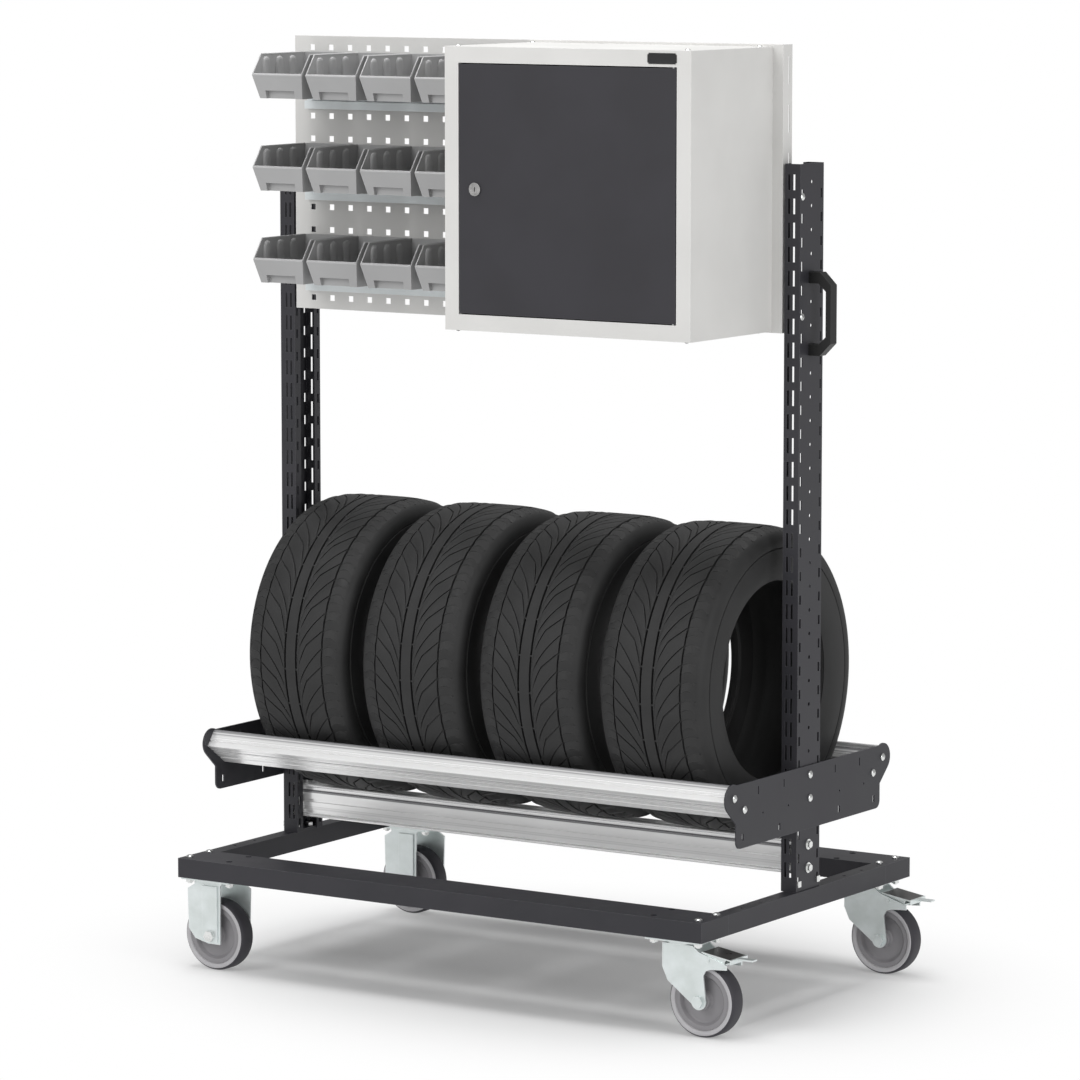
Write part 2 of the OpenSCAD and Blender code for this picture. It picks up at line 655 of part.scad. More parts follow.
module handle_screws() color(zinc) about_base()
    for (z = [hole_z(handle_row), hole_z(handle_row) + handle_span]) translate([upright_x, 0, z]) {
        translate([-upright_t - washer_t, 0, 0]) rod_x(hole_d, upright_t + washer_t + 12);
        translate([-upright_t - washer_t - head_h, 0, 0]) rotate([0, 90, 0]) hexagon(nut_across - 2, head_h);
        translate([-upright_t - washer_t, 0, 0]) rod_x(washer_d, washer_t);
    }

// Folded strips with a nose below, a lip that bins hook over, and tabs in the panel's holes.
module bin_rails() color(zinc) about_base() for (row = [1:bin_rows]) {
    len = bin_columns*bin_pitch - bin_gap;
    face = -bin_rail_out - bin_rail_t;
    translate([bin_left, panel_y, bin_rail_z(row)]) {
        along_x(len) union() {
            translate([-bin_rail_t, bin_nose_h - bin_rail_t])
                square([bin_rail_t, bin_shelf - bin_nose_h + bin_rail_t]);
            translate([face, bin_nose_h - bin_rail_t]) square([-face, bin_rail_t]);
            translate([face, 0]) square([bin_rail_t, bin_nose_h]);
            translate([face, bin_shelf - bin_rail_t]) square([-face, bin_rail_t]);
            translate([face, bin_shelf - bin_rail_t]) square([bin_rail_t, lip_h + bin_rail_t]);
        }
        tab = square_hole - 2;
        tab_z = panel_z + panel_h - bin_rail_z(row) - pitch/2 - 2*pitch;
        for (col = [1, 5, 9]) translate([-panel_w/2 + panel_edge + pitch*col - bin_left - tab/2, -0.5,
            tab_z - tab/2]) cube([tab, panel_t + 3, tab]);
    }
}

// Outline of a bin seen from the side, set in by wall and open above when it is a cavity.
module bin_side(wall, top) polygon([[-wall, wall], [-bin_d + bin_toe + wall, wall],
    [-bin_d + wall, bin_h - rim_drop], [-bin_d + wall, top], [-wall, top]]);
module bin_front(inset, floor_z, top) polygon([[bin_taper + inset, floor_z],
    [bin_w - bin_taper - inset, floor_z], [bin_w - inset, bin_h - rim_drop], [bin_w - inset, top],
    [inset, top], [inset, bin_h - rim_drop]]);
module bin_cavity(inset) intersection() {
    along_x(bin_w) bin_side(bin_wall, bin_h + 1);
    translate([0, -bin_d, 0]) along_y(bin_d) bin_front(inset, 0, bin_h + 1);
}
module grip_recess(grow) translate([grip_edge - grow, -bin_d - 1, -1])
    cube([bin_w - 2*grip_edge + 2*grow, bin_toe + grip_depth + grow + 1, grip_h + grow + 1]);

// Open-fronted stacking bin with ribbed sides, a finger recess, a back hook and a heel.
module bin(row, col) color(bin_grey) about_base()
    translate([bin_left + bin_pitch*(col - 1), bin_back, bin_rail_z(row) + bin_rise]) {
        leg_y = bin_rail_t + 2*gap;
        difference() {
            intersection() {
                along_x(bin_w) polygon([[0, 0], [-bin_d + bin_toe, 0], [-bin_d, bin_h - rim_drop],
                    [-bin_d + rim_run, bin_h], [0, bin_h]]);
                translate([0, -bin_d, 0]) along_y(bin_d) bin_front(0, 0, bin_h);
            }
            difference() {
                bin_cavity(bin_wall);
                for (i = [1:3]) translate([-1, -bin_d*i/4 - rib_w/2, 0]) difference() {
                    cube([bin_w + 2, rib_w, bin_h - 8]);
                    translate([1, bin_d*i/4 + rib_w/2, 0]) bin_cavity(bin_wall + rib_h);
                }
                grip_recess(bin_wall);
            }
            grip_recess(0);
        }
        translate([10, 0, bin_h - hook_t]) cube([bin_w - 20, leg_y + hook_t, hook_t]);
        translate([10, leg_y, bin_h - hook_drop]) cube([bin_w - 20, hook_t, hook_drop]);
        translate([bin_taper + 12, 0, 4]) cube([bin_w - 2*bin_taper - 24, bin_rail_out, 5]);
    }

// ---- Cabinet ----

// A flat ring of the door frame: outer size of the cabinet, open at the door.
module frame_ring(outer_in, inner_in) difference() {
    translate([cabinet_left + outer_in, cabinet_z + outer_in])
        square([cabinet_w - 2*outer_in, cabinet_h - 2*outer_in]);
    translate([cabinet_left + inner_in, cabinet_z + inner_in])
        square([cabinet_w - 2*inner_in, cabinet_h - 2*inner_in]);
}

// Sheet box with a folded frame round its door opening.
module cabinet_body() color(light_grey) about_base() difference() {
    union() {
        translate([0, cabinet_front, 0]) along_y(cabinet_d) frame_ring(0, cabinet_t);
        translate([0, cabinet_front, 0]) along_y(cabinet_t) frame_ring(0, frame_w);
        translate([0, cabinet_front, 0]) along_y(return_d) frame_ring(frame_w - cabinet_t, frame_w);
        translate([cabinet_left, panel_y - cabinet_t, cabinet_z]) cube([cabinet_w, cabinet_t, cabinet_h]);
    }
    translate([hinge_x, hinge_y, cabinet_z + 1]) cylinder(d = hinge_d, h = cabinet_h - 2);
}

// Folded door leaf with the hole for its lock and for the hinge pins.
module cabinet_door() color(anthracite) about_base() difference() {
    translate([door_left, cabinet_front, door_z]) cube([door_w, door_d, door_h]);
    translate([door_left + cabinet_t, cabinet_front + cabinet_t, door_z + cabinet_t])
        cube([door_w - 2*cabinet_t, door_d, door_h - 2*cabinet_t]);
    translate([lock_x, cabinet_front - 1, lock_z]) rod_y(lock_d + 2*fit, cabinet_t + 2);
    translate([hinge_x, hinge_y, door_z - 1]) cylinder(d = hinge_d + 2*fit, h = door_h + 2);
}

module hinge_pins() color(zinc) about_base()
    for (z = [door_z - door_gap - cabinet_t - 2, door_z + door_h - hinge_reach + 2])
        translate([hinge_x, hinge_y, z]) cylinder(d = hinge_d, h = door_gap + cabinet_t + hinge_reach);

// Lock with a rim, a keyhole and a cam that points down when it is open.
module lock_barrel() color(zinc) about_base() translate([lock_x, cabinet_front, lock_z]) {
    cam_y = return_d + gap;
    difference() {
        union() {
            translate([0, -lock_out, 0]) rod_y(lock_rim, lock_out - gap);
            translate([0, -gap, 0]) rod_y(lock_d, cam_y + gap);
        }
        translate([-1, -lock_out - 1, -4]) cube([2, 9, 8]);
    }
    translate([-cam_w/2, cam_y, -cam_len]) cube([cam_w, cam_t, cam_len + cam_w/2]);
}

module cabinet_plugs() color(zinc) about_base() for (sx = [-1, 1], y = [cabinet_front, panel_y])
    translate([(cabinet_left + cabinet_right)/2 + sx*(cabinet_w/2 - plug_edge),
        y + sign(cabinet_front + cabinet_d/2 - y)*plug_edge, 0]) {
        translate([0, 0, cabinet_z + cabinet_h]) dome_head(plug_d, plug_h);
        translate([0, 0, cabinet_z]) mirror([0, 0, 1]) dome_head(plug_d, plug_h);
    }

// Plain plate on the frame above the door.
module name_plate() color("#1c1c1e") about_base()
    translate([cabinet_right - frame_w - badge[0], cabinet_front - badge[1],
        cabinet_z + cabinet_h - frame_w/2 - badge[2]/2]) cube(badge);

// ---- Tyres ----

// Half outline from the crown out and round to the bead, as [radius, offset] points.
function tyre_half(top, half, bead, steps = 9) = let(mid = bead + 0.45*(top - bead), power = 0.42)
    concat([for (i = [0:steps]) let(a = 90 - 90*i/steps)
            [mid + (top - mid)*pow(sin(a), power), half*pow(cos(a), power)]],
        [for (i = [1:4]) let(a = 90*i/4) [mid - (mid - bead)*sin(a), half*(1 - 0.12*(1 - cos(a)))]]);
function mirrored(points) = concat(points,
    [for (i = [len(points) - 1:-1:0]) [points[i][0], -points[i][1]]]);

// Hollow tyre, open at the bead, with circumferential grooves in its tread.
module tyre(place) color(rubber) about_base()
    translate([tyre_shift + tyre_pitch*(place - (tyre_count + 1)/2), 0, tyre_z]) rotate([0, 90, 0])
        rotate_extrude($fn = 96) difference() {
            polygon(mirrored(tyre_half(tyre_r, tyre_w/2, bead_d/2)));
            polygon(mirrored(tyre_half(tyre_r - carcass_t, tyre_w/2 - carcass_t, bead_d/2 - 2)));
            for (s = groove_places) translate([tyre_r - groove_depth, s - groove_w/2])
                square([groove_depth + 1, groove_w]);
        }

// ---- Nodes ----

end_beam(-1);  // base_beam_front
end_beam(1);  // base_beam_rear
side_beam(-1);  // base_beam_left
side_beam(1);  // base_beam_right
frame_bolts();
fixed_fork(-1);  // fixed_fork_front
fixed_fork(1);  // fixed_fork_rear
fixed_axles();
swivel_plate(-1);  // swivel_plate_front
swivel_plate(1);  // swivel_plate_rear
swivel_fork(-1);  // swivel_fork_front
swivel_fork(1);  // swivel_fork_rear
swivel_axle(-1);  // swivel_axle_front
swivel_axle(1);  // swivel_axle_rear
brake_pedal(-1);  // brake_pedal_front
brake_pedal(1);  // brake_pedal_rear
wheel_core(fixed_x, -1);  // wheel_core_fl
wheel_core(fixed_x, 1);  // wheel_core_rl
wheel_core(swivel_x + swivel_trail, -1);  // wheel_core_fr
wheel_core(swivel_x + swivel_trail, 1);  // wheel_core_rr
wheel_tread(fixed_x, -1);  // wheel_tread_fl
wheel_tread(fixed_x, 1);  // wheel_tread_rl
wheel_tread(swivel_x + swivel_trail, -1);  // wheel_tread_fr
wheel_tread(swivel_x + swivel_trail, 1);  // wheel_tread_rr
upright_left();
upright_right();
foot_nuts();
bracket(-1);  // bracket_left
bracket(1);  // bracket_right
cradle_rail(-1);  // rail_front
cradle_rail(1);  // rail_rear
rail_lower();
rail_bolts();
panel();
panel_screws();
handle();
handle_screws();
bin_rails();
bin(1, 1);  // bin_1_1
bin(1, 2);  // bin_1_2
bin(1, 3);  // bin_1_3
bin(1, 4);  // bin_1_4
bin(2, 1);  // bin_2_1
bin(2, 2);  // bin_2_2
bin(2, 3);  // bin_2_3
bin(2, 4);  // bin_2_4
bin(3, 1);  // bin_3_1
bin(3, 2);  // bin_3_2
bin(3, 3);  // bin_3_3
bin(3, 4);  // bin_3_4
cabinet_body();
cabinet_door();
hinge_pins();
lock_barrel();
cabinet_plugs();
name_plate();
tyre(1);  // tyre_1
tyre(2);  // tyre_2
tyre(3);  // tyre_3
tyre(4);  // tyre_4
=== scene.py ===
import json
import math

import bmesh
import bpy
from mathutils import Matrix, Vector


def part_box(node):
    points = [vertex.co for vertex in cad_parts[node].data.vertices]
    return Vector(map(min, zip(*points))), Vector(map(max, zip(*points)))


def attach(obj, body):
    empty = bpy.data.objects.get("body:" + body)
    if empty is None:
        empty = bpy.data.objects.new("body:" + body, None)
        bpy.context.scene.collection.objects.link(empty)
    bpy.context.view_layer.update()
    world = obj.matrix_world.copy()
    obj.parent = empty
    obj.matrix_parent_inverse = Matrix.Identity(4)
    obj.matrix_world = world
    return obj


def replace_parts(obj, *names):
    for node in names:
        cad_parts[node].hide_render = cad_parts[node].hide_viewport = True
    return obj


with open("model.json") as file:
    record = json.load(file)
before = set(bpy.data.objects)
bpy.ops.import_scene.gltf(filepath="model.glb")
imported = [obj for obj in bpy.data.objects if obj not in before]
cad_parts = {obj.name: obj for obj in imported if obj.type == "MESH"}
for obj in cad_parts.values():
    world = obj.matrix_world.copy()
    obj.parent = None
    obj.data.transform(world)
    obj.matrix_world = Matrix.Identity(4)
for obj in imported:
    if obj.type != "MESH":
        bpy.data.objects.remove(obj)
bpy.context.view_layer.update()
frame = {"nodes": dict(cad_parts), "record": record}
NODES = frame["nodes"]
BODY_OF = {node: body for body, nodes in frame["record"]["behaviour"]["bodies"].items() for node in nodes}
MM = 0.001
X, Y, Z = range(3)


# ---- Places taken from the frame ----

def corners(node):
    """The lowest and highest corners of a CAD node at rest."""
    return [Vector(corner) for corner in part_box(node)]


def middle(node):
    low, high = corners(node)
    return (low + high) / 2


def half_size(node, axis):
    low, high = corners(node)
    return (high[axis] - low[axis]) / 2


# ---- Camera, light and floor ----

FOCAL_LENGTH, SENSOR_WIDTH = 173.53, 36.0
CAMERA_AZIMUTH, CAMERA_PITCH = math.radians(33.002), math.radians(7.143)
CAMERA_FROM_BASE, CAMERA_Y, CAMERA_Z = 4.8761, -7.5209, 1.8820
VIEW_RANGE = (0.5, 60.0)

WHITE = (1.0, 1.0, 1.0, 1.0)
SKY_STRENGTH = 0.42
LIGHT_TARGET = (0.0, 0.0, 0.8)
# name, place, size, power
LIGHTS = (
    ("key_light", (-1.2, -5.0, 3.4), (2.8, 2.6), 104),
    ("top_light", (-0.3, 0.0, 4.9), (3.0, 2.2), 150),
    ("side_light", (4.6, -1.4, 2.2), (1.8, 3.0), 62),
)

FLOOR_HALF = 14.0
FLOOR_COLOUR = (0.86, 0.86, 0.86, 1.0)
# The floor is grey under the rack and turns to plain white between these distances, in an oval
FLOOR_OVAL = (1.0, 1.25, 1.0)
FADE_START, FADE_END = 0.40, 1.05


def add_node(tree, kind, inputs=None, **settings):
    """A shader node, with the settings and inputs that differ from their defaults."""
    node = tree.nodes.new("ShaderNode" + kind)
    for label, value in settings.items():
        setattr(node, label, value)
    for label, value in (inputs or {}).items():
        node.inputs[label].default_value = value
    return node


def add_to_scene(name, data, place=(0, 0, 0)):
    thing = bpy.data.objects.new(name, data)
    thing.location = place
    bpy.context.scene.collection.objects.link(thing)
    return thing


def look_along(thing, direction):
    thing.rotation_mode = "QUATERNION"
    thing.rotation_quaternion = direction.to_track_quat("-Z", "Y")


def add_camera():
    data = bpy.data.cameras.new("camera")
    data.lens = FOCAL_LENGTH
    data.sensor_width = SENSOR_WIDTH
    data.clip_start, data.clip_end = VIEW_RANGE
    base_middle = (middle("base_beam_left") + middle("base_beam_right")) / 2
    camera = add_to_scene("camera", data, (CAMERA_FROM_BASE + base_middle.x, CAMERA_Y, CAMERA_Z))
    level = math.cos(CAMERA_PITCH)
    look_along(camera, Vector((-math.sin(CAMERA_AZIMUTH) * level, math.cos(CAMERA_AZIMUTH) * level,
                               -math.sin(CAMERA_PITCH))))
    bpy.context.scene.camera = camera
    bpy.context.scene.view_settings.view_transform = "Standard"


def add_lights():
    for name, place, size, power in LIGHTS:
        data = bpy.data.lights.new(name, "AREA")
        data.shape = "RECTANGLE"
        data.size, data.size_y = size
        data.energy = power
        look_along(add_to_scene(name, data, place), Vector(LIGHT_TARGET) - Vector(place))


def add_sky():
    """Soft light from all round, with a plain white backdrop where the camera sees past the rack."""
    world = bpy.data.worlds.new("studio")
    world.use_nodes = True
    tree = world.node_tree
    sky = tree.nodes["Background"]
    sky.inputs["Color"].default_value = WHITE
    sky.inputs["Strength"].default_value = SKY_STRENGTH
    backdrop = add_node(tree, "Background", {"Color": WHITE, "Strength": 1.0})
    seen = add_node(tree, "LightPath")
    mix = add_node(tree, "MixShader")
    tree.links.new(seen.outputs["Is Camera Ray"], mix.inputs[0])
    tree.links.new(sky.outputs[0], mix.inputs[1])
    tree.links.new(backdrop.outputs[0], mix.inputs[2])
    tree.links.new(mix.outputs[0], tree.nodes["World Output"].inputs["Surface"])
    bpy.context.scene.world = world


def floor_material():
    material = bpy.data.materials.new("studio_floor")
    material.use_nodes = True
    tree = material.node_tree
    paint = tree.nodes["Principled BSDF"]
    paint.inputs["Base Color"].default_value = FLOOR_COLOUR
    paint.inputs["Roughness"].default_value = 0.75
    paint.inputs["Specular IOR Level"].default_value = 0.15
    place = add_node(tree, "TexCoord")
    oval = add_node(tree, "VectorMath", {1: FLOOR_OVAL}, operation="MULTIPLY")
    distance = add_node(tree, "VectorMath", operation="LENGTH")
    fade = add_node(tree, "MapRange", {"From Min": FADE_START, "From Max": FADE_END},
                    interpolation_type="SMOOTHSTEP")
    white = add_node(tree, "Emission")
    mix = add_node(tree, "MixShader")
    tree.links.new(place.outputs["Object"], oval.inputs[0])
    tree.links.new(oval.outputs[0], distance.inputs[0])
    tree.links.new(distance.outputs["Value"], fade.inputs["Value"])
    tree.links.new(fade.outputs[0], mix.inputs[0])
    tree.links.new(paint.outputs[0], mix.inputs[1])
    tree.links.new(white.outputs[0], mix.inputs[2])
    tree.links.new(mix.outputs[0], tree.nodes["Material Output"].inputs["Surface"])
    return material


def add_floor():
    mesh = bpy.data.meshes.new("floor")
    outline = [(x * FLOOR_HALF, y * FLOOR_HALF, 0) for x, y in ((-1, -1), (1, -1), (1, 1), (-1, 1))]
    mesh.from_pydata(outline, [], [(0, 1, 2, 3)])
    mesh.materials.append(floor_material())
    add_to_scene("floor", mesh)


# ---- Shared effects ----

EDGE_RADIUS = 1.2 * MM


def new_group(name, inputs, outputs):
    group = bpy.data.node_groups.new(name, "ShaderNodeTree")
    for label, value in inputs:
        socket = group.interface.new_socket(label, in_out="INPUT", socket_type="NodeSocketFloat")
        socket.default_value = value
    for label in outputs:
        group.interface.new_socket(label, in_out="OUTPUT", socket_type="NodeSocketFloat")
    return group, group.nodes.new("NodeGroupInput"), group.nodes.new("NodeGroupOutput")


def scaled_noise(group, scale_socket, detail, stretch=(1.0, 1.0, 1.0)):
    """Noise over the object's own coordinates, stretched along an axis where its factor is below 1."""
    place = add_node(group, "TexCoord")
    shape = add_node(group, "VectorMath", {1: stretch}, operation="MULTIPLY")
    grow = add_node(group, "VectorMath", operation="SCALE")
    noise = add_node(group, "TexNoise", {"Scale": 1.0, "Detail": detail})
    group.links.new(place.outputs["Object"], shape.inputs[0])
    group.links.new(shape.outputs[0], grow.inputs[0])
    group.links.new(scale_socket, grow.inputs["Scale"])
    group.links.new(grow.outputs[0], noise.inputs["Vector"])
    return noise.outputs["Fac"]


def make_grain():
    """Fine moulded or sprayed texture, and slow mottling."""
    inputs = [("Grain Scale", 900.0), ("Mottle Scale", 9.0)]
    group, given, result = new_group("grain", inputs, ["Grain", "Mottle"])
    for label, detail in (("Grain", 2.0), ("Mottle", 4.0)):
        fac = scaled_noise(group, given.outputs[f"{label} Scale"], detail)
        group.links.new(fac, result.inputs[label])
    return group


def make_streaks_and_reflections():
    """Lines that run along X: fine ones as a die leaves them on an extrusion, broad ones for bands of
    painted reflection.
    """
    group, given, result = new_group("die_streaks", [("Scale", 500.0)], ["Fine", "Broad"])
    for label, stretch in (("Fine", (0.0, 1.0, 1.0)), ("Broad", (0.0, 0.4, 0.4))):
        fac = scaled_noise(group, given.outputs["Scale"], 3.0, stretch)
        group.links.new(fac, result.inputs[label])
    return group


def make_edge_highlight():
    """A mask of the edges, for a painted highlight where they would catch the light."""
    group, given, result = new_group("edge_highlight_mask", [("Gain", 6.0)], ["Mask"])
    rounded = add_node(group, "Bevel", {"Radius": EDGE_RADIUS}, samples=4)
    flat = add_node(group, "NewGeometry")
    alike = add_node(group, "VectorMath", operation="DOT_PRODUCT")
    turned = add_node(group, "Math", {0: 1.0}, operation="SUBTRACT")
    gain = add_node(group, "Math", operation="MULTIPLY", use_clamp=True)
    group.links.new(rounded.outputs[0], alike.inputs[0])
    group.links.new(flat.outputs["Normal"], alike.inputs[1])
    group.links.new(alike.outputs["Value"], turned.inputs[1])
    group.links.new(turned.outputs[0], gain.inputs[0])
    group.links.new(given.outputs["Gain"], gain.inputs[1])
    group.links.new(gain.outputs[0], result.inputs["Mask"])
    return group


GRAIN = make_grain()
STREAKS_AND_REFLECTIONS = make_streaks_and_reflections()
EDGE_HIGHLIGHT = make_edge_highlight()


# ---- Materials ----

def ramp(tree, source, low, high, span=(0.35, 0.65)):
    """Turns a value into a colour, from low to high over the span."""
    node = add_node(tree, "ValToRGB")
    for element, position, colour in zip(node.color_ramp.elements, span, (low, high)):
        element.position = position
        element.color = (*colour, 1.0)
    tree.links.new(source, node.inputs["Fac"])
    return node.outputs["Color"]


def spread(tree, source, low, high):
    """Maps the middle part of a noise value onto low to high."""
    node = add_node(tree, "MapRange", {"From Min": 0.3, "From Max": 0.7, "To Min": low, "To Max": high})
    tree.links.new(source, node.inputs["Value"])
    return node.outputs[0]


def mix_colours(tree, mask, under, over):
    node = add_node(tree, "Mix", data_type="RGBA")
    tree.links.new(mask, node.inputs["Factor"])
    tree.links.new(under, node.inputs["A"])
    node.inputs["B"].default_value = (*over, 1.0)
    return node.outputs["Result"]


def bump_from(tree, source, strength, depth):
    node = add_node(tree, "Bump", {"Strength": strength, "Distance": depth})
    tree.links.new(source, node.inputs["Height"])
    return node.outputs["Normal"]


def new_material(name, **fixed):
    material = bpy.data.materials.new(name)
    material.use_nodes = True
    shader = material.node_tree.nodes["Principled BSDF"]
    for label, value in fixed.items():
        shader.inputs[label.replace("_", " ")].default_value = value
    return material, shader, material.node_tree


def grained(name, dark, light, rough, grain, bump, mottle=9.0, edge=None, highlight_gain=5.0, **fixed):
    """A sprayed, plated or moulded surface: mottled colour, fine grain and a painted highlight on the edges.

    bump is the strength and the depth in metres of the grain; grain and mottle are noise scales; edge, if
    given, is the colour of the painted edge highlight.
    """
    material, shader, tree = new_material(name, **fixed)
    texture = add_node(tree, "Group", {"Grain Scale": grain, "Mottle Scale": mottle}, node_tree=GRAIN)
    colour = ramp(tree, texture.outputs["Mottle"], dark, light)
    # Painted highlight: along the edges the colour turns towards the edge colour
    if edge:
        mask = add_node(tree, "Group", {"Gain": highlight_gain}, node_tree=EDGE_HIGHLIGHT).outputs["Mask"]
        colour = mix_colours(tree, mask, colour, edge)
    tree.links.new(colour, shader.inputs["Base Color"])
    tree.links.new(spread(tree, texture.outputs["Mottle"], *rough), shader.inputs["Roughness"])
    tree.links.new(bump_from(tree, texture.outputs["Grain"], *bump), shader.inputs["Normal"])
    return material


def extruded_aluminium():
    material, shader, tree = new_material("extruded_aluminium", Metallic=0.5)
    lines = add_node(tree, "Group", {"Scale": 240.0}, node_tree=STREAKS_AND_REFLECTIONS)
    # Painted reflection: the broad lines give dark and white bands in the colour, standing in for
    # reflections along the rails
    colour = ramp(tree, lines.outputs["Broad"], (0.30, 0.30, 0.31), (1.0, 1.0, 1.0), span=(0.41, 0.48))
    tree.links.new(colour, shader.inputs["Base Color"])
    tree.links.new(spread(tree, lines.outputs["Fine"], 0.16, 0.30), shader.inputs["Roughness"])
    tree.links.new(bump_from(tree, lines.outputs["Fine"], 0.3, 0.0004), shader.inputs["Normal"])
    return material


# Coated sheet
anthracite = grained(
    "anthracite_coat", dark=(0.027, 0.027, 0.032), light=(0.034, 0.033, 0.039), rough=(0.42, 0.52),
    grain=1400, bump=(0.10, 0.0001), edge=(0.09, 0.09, 0.10), Specular_IOR_Level=0.32)
door_coat = grained(
    "door_coat", dark=(0.030, 0.029, 0.034), light=(0.034, 0.033, 0.039), rough=(0.48, 0.54),
    grain=1400, bump=(0.08, 0.0001), edge=(0.08, 0.08, 0.09), Specular_IOR_Level=0.30)
light_grey = grained(
    "light_grey_coat", dark=(0.63, 0.625, 0.61), light=(0.66, 0.655, 0.64), rough=(0.38, 0.46),
    grain=1400, bump=(0.06, 0.0001), edge=(0.80, 0.80, 0.79), Specular_IOR_Level=0.35)

# Bare and plated metal
aluminium = extruded_aluminium()
zinc = grained(
    "zinc_plate", dark=(0.66, 0.71, 0.70), light=(0.78, 0.83, 0.83), rough=(0.30, 0.42),
    grain=700, bump=(0.05, 0.0001), mottle=26.0, edge=(0.94, 0.96, 0.96), Metallic=0.7)
bright_zinc = grained(
    "bright_zinc", dark=(0.66, 0.67, 0.66), light=(0.82, 0.83, 0.82), rough=(0.20, 0.34),
    grain=900, bump=(0.04, 0.0001), mottle=60.0, edge=(0.95, 0.95, 0.95), Metallic=1.0)
rail_zinc = grained(
    "rail_zinc", dark=(0.66, 0.70, 0.71), light=(0.76, 0.80, 0.81), rough=(0.36, 0.5),
    grain=700, bump=(0.04, 0.0001), mottle=14.0, edge=(0.9, 0.92, 0.93), Metallic=0.4)
lock_nickel = grained(
    "lock_nickel", dark=(0.42, 0.415, 0.41), light=(0.52, 0.51, 0.505), rough=(0.18, 0.28),
    grain=1500, bump=(0.05, 0.00005), mottle=80.0, edge=(0.9, 0.9, 0.89), Metallic=1.0)
pedal_pad = grained(
    "pedal_pad", dark=(0.040, 0.038, 0.037), light=(0.075, 0.072, 0.070), rough=(0.25, 0.4),
    grain=900, bump=(0.08, 0.0001), mottle=40.0, Metallic=0.4)

# Moulded plastic
bin_plastic = grained(
    "bin_plastic", dark=(0.335, 0.335, 0.337), light=(0.365, 0.365, 0.367), rough=(0.42, 0.55),
    grain=1100, bump=(0.10, 0.0001), edge=(0.54, 0.54, 0.54), highlight_gain=4.0)
bin_rim = grained(
    "bin_rim", dark=(0.40, 0.40, 0.402), light=(0.44, 0.44, 0.442), rough=(0.40, 0.5),
    grain=1100, bump=(0.08, 0.0001))
handle_plastic = grained(
    "handle_plastic", dark=(0.010, 0.010, 0.010), light=(0.016, 0.016, 0.016), rough=(0.42, 0.52),
    grain=900, bump=(0.16, 0.0001), edge=(0.05, 0.05, 0.05), Specular_IOR_Level=0.3)
wheel_plastic = grained(
    "wheel_plastic", dark=(0.235, 0.228, 0.240), light=(0.262, 0.254, 0.266), rough=(0.42, 0.55),
    grain=900, bump=(0.08, 0.0001), edge=(0.34, 0.33, 0.335))
plate_plastic = grained(
    "plate_plastic", dark=(0.010, 0.010, 0.011), light=(0.014, 0.014, 0.015), rough=(0.22, 0.3),
    grain=700, bump=(0.03, 0.0001))

# Rubber
ring_rubber = grained(
    "ring_rubber", dark=(0.455, 0.447, 0.462), light=(0.485, 0.477, 0.492), rough=(0.5, 0.62),
    grain=900, bump=(0.08, 0.0001))
tread_rubber = grained(
    "tread_rubber", dark=(0.038, 0.036, 0.043), light=(0.050, 0.048, 0.056), rough=(0.5, 0.66),
    grain=900, bump=(0.14, 0.0001), Specular_IOR_Level=0.35)
tyre_rubber = grained(
    "tyre_rubber", dark=(0.020, 0.020, 0.0202), light=(0.029, 0.029, 0.0293), rough=(0.52, 0.66),
    grain=1200, bump=(0.14, 0.00012), mottle=16.0, edge=(0.058, 0.058, 0.058), highlight_gain=2.5,
    Specular_IOR_Level=0.30)


# ---- Making pieces ----

BEVEL_SEGMENTS, BEVEL_ANGLE = 2, math.radians(32)


def make_mesh(name, verts, faces, materials, face_materials=None, crease=35):
    """A mesh about its own origin, smooth except across edges sharper than the crease angle."""
    mesh = bpy.data.meshes.new(name)
    mesh.from_pydata([tuple(v) for v in verts], [], faces)
    for material in materials:
        mesh.materials.append(material)
    if face_materials:
        mesh.polygons.foreach_set("material_index", face_materials)
    outward = bmesh.new()
    outward.from_mesh(mesh)
    bmesh.ops.recalc_face_normals(outward, faces=outward.faces)
    outward.to_mesh(mesh)
    outward.free()
    mesh.polygons.foreach_set("use_smooth", [True] * len(mesh.polygons))
    mesh.set_sharp_from_angle(angle=math.radians(crease))
    return mesh


def soften(piece, width):
    edge = piece.modifiers.new("rounded_edges", "BEVEL")
    edge.width = width
    edge.segments = BEVEL_SEGMENTS
    edge.limit_method = "ANGLE"
    edge.angle_limit = BEVEL_ANGLE
    edge.harden_normals = True
    edge.use_clamp_overlap = True


def add_piece(name, mesh, node, place=(0, 0, 0), round_off=None):
    """Places a mesh in the frame, riding on the body of a CAD node."""
    piece = add_to_scene(name, mesh, place)
    if round_off:
        soften(piece, round_off)
    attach(piece, BODY_OF[node])
    return piece


def replace_node(name, mesh, node, round_off=None):
    """Puts a mesh at the middle of a CAD node, which it stands for."""
    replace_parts(add_piece(name, mesh, node, middle(node), round_off), node)


def ring_faces(columns, rows):
    """Quads over a grid of columns that closes on itself both ways."""
    return [(i * rows + j, ((i + 1) % columns) * rows + j, ((i + 1) % columns) * rows + (j + 1) % rows,
             i * rows + (j + 1) % rows)
            for i in range(columns) for j in range(rows)]


def lathe_y(name, profile, zones, materials, steps=64):
    """Turns a closed profile of (radius, y) points about Y; zones gives each side its material."""
    verts = [(r * math.cos(a), y, r * math.sin(a))
             for a in (2 * math.pi * i / steps for i in range(steps)) for r, y in profile]
    return make_mesh(name, verts, ring_faces(steps, len(profile)), materials, zones * steps, crease=28)


def mirrored(profile):
    """A profile of (radius, y) points and its mirror image, as one closed outline."""
    return profile + [(r, -y) for r, y in reversed(profile)]


# ---- Tyres ----

BEAD_RADIUS = 169 * MM
SKIN_INSET = 0.05 * MM
